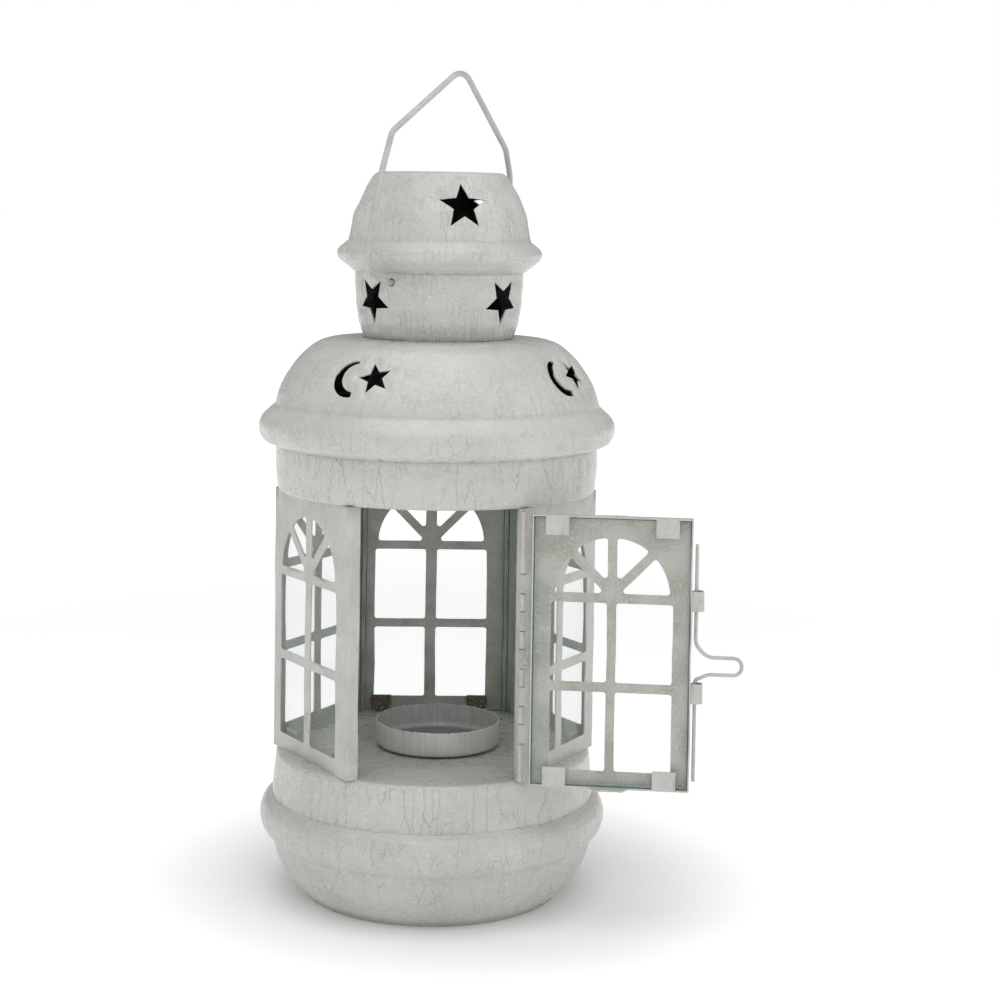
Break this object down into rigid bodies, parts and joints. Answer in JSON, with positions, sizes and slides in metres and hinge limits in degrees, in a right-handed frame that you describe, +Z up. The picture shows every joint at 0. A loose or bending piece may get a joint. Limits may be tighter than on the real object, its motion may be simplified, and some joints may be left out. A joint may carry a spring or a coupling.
{
  "type": "tealight lantern",
  "caption": "Hanging tealight holder: a round base and domed roof joined by a six-sided glazed cage with a hinged window door, a cup inside and a wire bail.",
  "frame": {"origin": "centre of the foot's flat underside", "axes": "+Z up through the chimney, the doorway faces -Y, the door's hinge is on the +X side of the doorway"},
  "size_m": [0.1558, 0.1196, 0.2747],
  "materials": {
    "white_paint": "off-white crackle paint, satin",
    "white_wire": "off-white paint over wire, satin",
    "glass": "clear float glass with green edges",
    "tin": "dull tinned steel with vertical streaks",
    "pin_steel": "dull steel with a little rust"
  },
  "bodies": {
    "lantern": {"base_bowl": "white_paint", "deck": "white_paint", "tealight_cup": "tin", "cup_rivet": "tin", "front_right_panel": "white_paint", "back_right_panel": "white_paint", "back_panel": "white_paint", "back_left_panel": "white_paint", "front_left_panel": "white_paint", "front_right_glass": "glass", "back_right_glass": "glass", "back_glass": "glass", "back_left_glass": "glass", "front_left_glass": "glass", "ceiling_pan": "white_paint", "roof_dome": "white_paint", "chimney_wall": "white_paint", "chimney_cap": "white_paint", "hinge_pin": "pin_steel"},
    "door": {"door_panel": "white_paint", "door_glass": "glass"},
    "latch": {"latch_wire": "white_wire"},
    "bail": {"bail": "white_wire"}
  },
  "joints": [
    {"name": "door_hinge", "type": "hinge", "parent": "lantern", "child": "door", "pos_m": [0.02754, -0.0477, 0.0915], "axis": [0, 0, 1], "range_deg": [-168.7, 50]},
    {"name": "latch_turn", "type": "hinge", "parent": "door", "child": "latch", "pos_m": [0.08115, -0.05703, 0.0885], "axis": [0, 0, 1], "range_deg": [-35, 90]},
    {"name": "bail_swing", "type": "hinge", "parent": "lantern", "child": "bail", "pos_m": [0, 0, 0.2049], "axis": [0.5519, 0.8339, 0], "range_deg": [-126, 113]}
  ]
}
